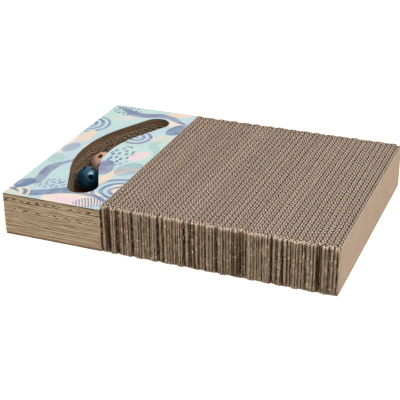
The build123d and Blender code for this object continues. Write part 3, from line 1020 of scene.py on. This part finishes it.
studio = dict(floorColour="#f2f2f0", floorRoughness=0.9, floorReach=6.0, floorPoints=5, floorLift=0.5,
              shadeInset=10 * mm, shadeBlur=1 * mm, worldShade=0.74, worldTint="#fff8e8",
              keyPower=10.6, keyPlace=(0.85, -0.2, 1.46), keySize=(0.6, 0.6),
              glossPower=95.0, glossPlace=(0.75, -0.3, 1.55), glossSize=(1.4, 1.4))


def seenDirectly(tree):
    # 1 for what the camera sees straight, in a reflection or through glass, and 0 for light on the object
    path = addNode(tree, "LightPath")
    seen = path.outputs["Is Camera Ray"]
    for ray in ("Is Glossy Ray", "Is Transmission Ray"):
        seen = addNode(tree, "Math", {0: seen, 1: path.outputs[ray]}, operation="MAXIMUM")
    return seen


def makeFloor():
    material, tree = newMaterial("pale studio floor")
    # no light reaches the floor under the block, so what shows of it through the flutes isn't lifted
    place = addNode(tree, "TexCoord").outputs["Object"]
    under = addNode(tree, "VectorMath", {0: place}, operation="ABSOLUTE")
    reach = [side - studio["shadeInset"] for side in cadBox[1][:2]]
    beyond = addNode(tree, "VectorMath", {0: under, 1: (*reach, 0)}, operation="SUBTRACT")
    sides = addNode(tree, "SeparateXYZ", {0: beyond})
    furthest = addNode(tree, "Math", {0: sides.outputs["X"], 1: sides.outputs["Y"]}, operation="MAXIMUM")
    clear = addNode(tree, "MapRange", {"Value": furthest, "From Max": studio["shadeBlur"]})
    shown = addNode(tree, "Math", {0: seenDirectly(tree), 1: clear}, operation="MULTIPLY")
    lift = addNode(tree, "Math", {0: shown, 1: studio["floorLift"]}, operation="MULTIPLY")
    addSurface(tree, {"Base Color": linear(studio["floorColour"]), "Roughness": studio["floorRoughness"],
                      "Emission Color": (1, 1, 1, 1), "Emission Strength": lift})
    count = studio["floorPoints"]
    side = np.linspace(-studio["floorReach"], studio["floorReach"], count)
    points = np.stack([*np.meshgrid(side, side, indexing="ij"), np.zeros((count, count))], -1).reshape(-1, 3)
    mesh = bpy.data.meshes.new("studio_floor")
    mesh.from_pydata(points.tolist(), [], gridFaces(count, count).tolist())
    mesh.materials.append(material)
    floor = bpy.data.objects.new("studio_floor", mesh)
    bpy.context.scene.collection.objects.link(floor)


def makeWorld():
    world = bpy.data.worlds.new("studio")
    world.use_nodes = True
    tree = world.node_tree
    tree.nodes.clear()
    seen = seenDirectly(tree)
    strength = addNode(tree, "MapRange", {"Value": seen, "To Min": studio["worldShade"], "To Max": 1.0})
    colour = addNode(tree, "Mix", {"Factor": seen, "A": linear(studio["worldTint"]), "B": (1, 1, 1, 1)},
                     data_type="RGBA")
    light = addNode(tree, "Background", {"Color": colour, "Strength": strength})
    addNode(tree, "OutputWorld", {"Surface": light})
    bpy.context.scene.world = world


def lookFrom(place, back, right):
    # the matrix of a lamp or camera at a place, from its backward and rightward directions
    matrix = np.eye(4)
    matrix[:3, :3] = np.stack([right, np.cross(back, right), back], 1)
    matrix[:3, 3] = place
    return Matrix(matrix.tolist())


def makeLamp(name):
    # soft lamp above the right end, turned to the middle of the block
    place = np.array(studio[name + "Place"])
    back = place / np.linalg.norm(place)
    right = np.cross((0, 0, 1), back)
    data = bpy.data.lights.new(name, "AREA")
    data.shape = "RECTANGLE"
    data.size, data.size_y = studio[name + "Size"]
    data.energy = studio[name + "Power"]
    lamp = bpy.data.objects.new(name, data)
    lamp.matrix_world = lookFrom(place, back, right / np.linalg.norm(right))
    bpy.context.scene.collection.objects.link(lamp)
    return lamp


# the camera's angles in degrees, and in metres its place to the right of, above and behind the
# panel's front left foot, as it sees them. The focal length is in pixels of a 400 by 400 image.
camera = dict(azimuth=22.53, elevation=26.36, roll=-0.79, right=0.2274, above=0.0387, behind=1.2153,
              focal=1034.5, imageSide=400, sensor=36.0)


def makeCamera():
    azimuth, elevation, roll = (np.radians(camera[key]) for key in ("azimuth", "elevation", "roll"))
    outward = np.array([np.sin(azimuth), -np.cos(azimuth), 0])
    back = outward * np.cos(elevation) + np.array([0, 0, np.sin(elevation)])
    level = np.array([np.cos(azimuth), np.sin(azimuth), 0])
    right = np.cos(roll) * level + np.sin(roll) * np.cross(back, level)
    up = np.cross(back, right)
    foot = np.array([panelLow[0], panelLow[1], 0])
    place = foot + camera["right"] * right + camera["above"] * up + camera["behind"] * back
    data = bpy.data.cameras.new("photo_view")
    data.sensor_width = camera["sensor"]
    data.lens = camera["focal"] / camera["imageSide"] * camera["sensor"]
    eye = bpy.data.objects.new("photo_view", data)
    eye.matrix_world = lookFrom(place, back, right)
    bpy.context.scene.collection.objects.link(eye)
    bpy.context.scene.camera = eye


makeFloor()
makeWorld()
makeLamp("key")
makeLamp("gloss").visible_diffuse = False  # a large soft box that shows only in reflections
makeCamera()
bpy.context.scene.view_settings.view_transform = "Standard"
print("studio set")
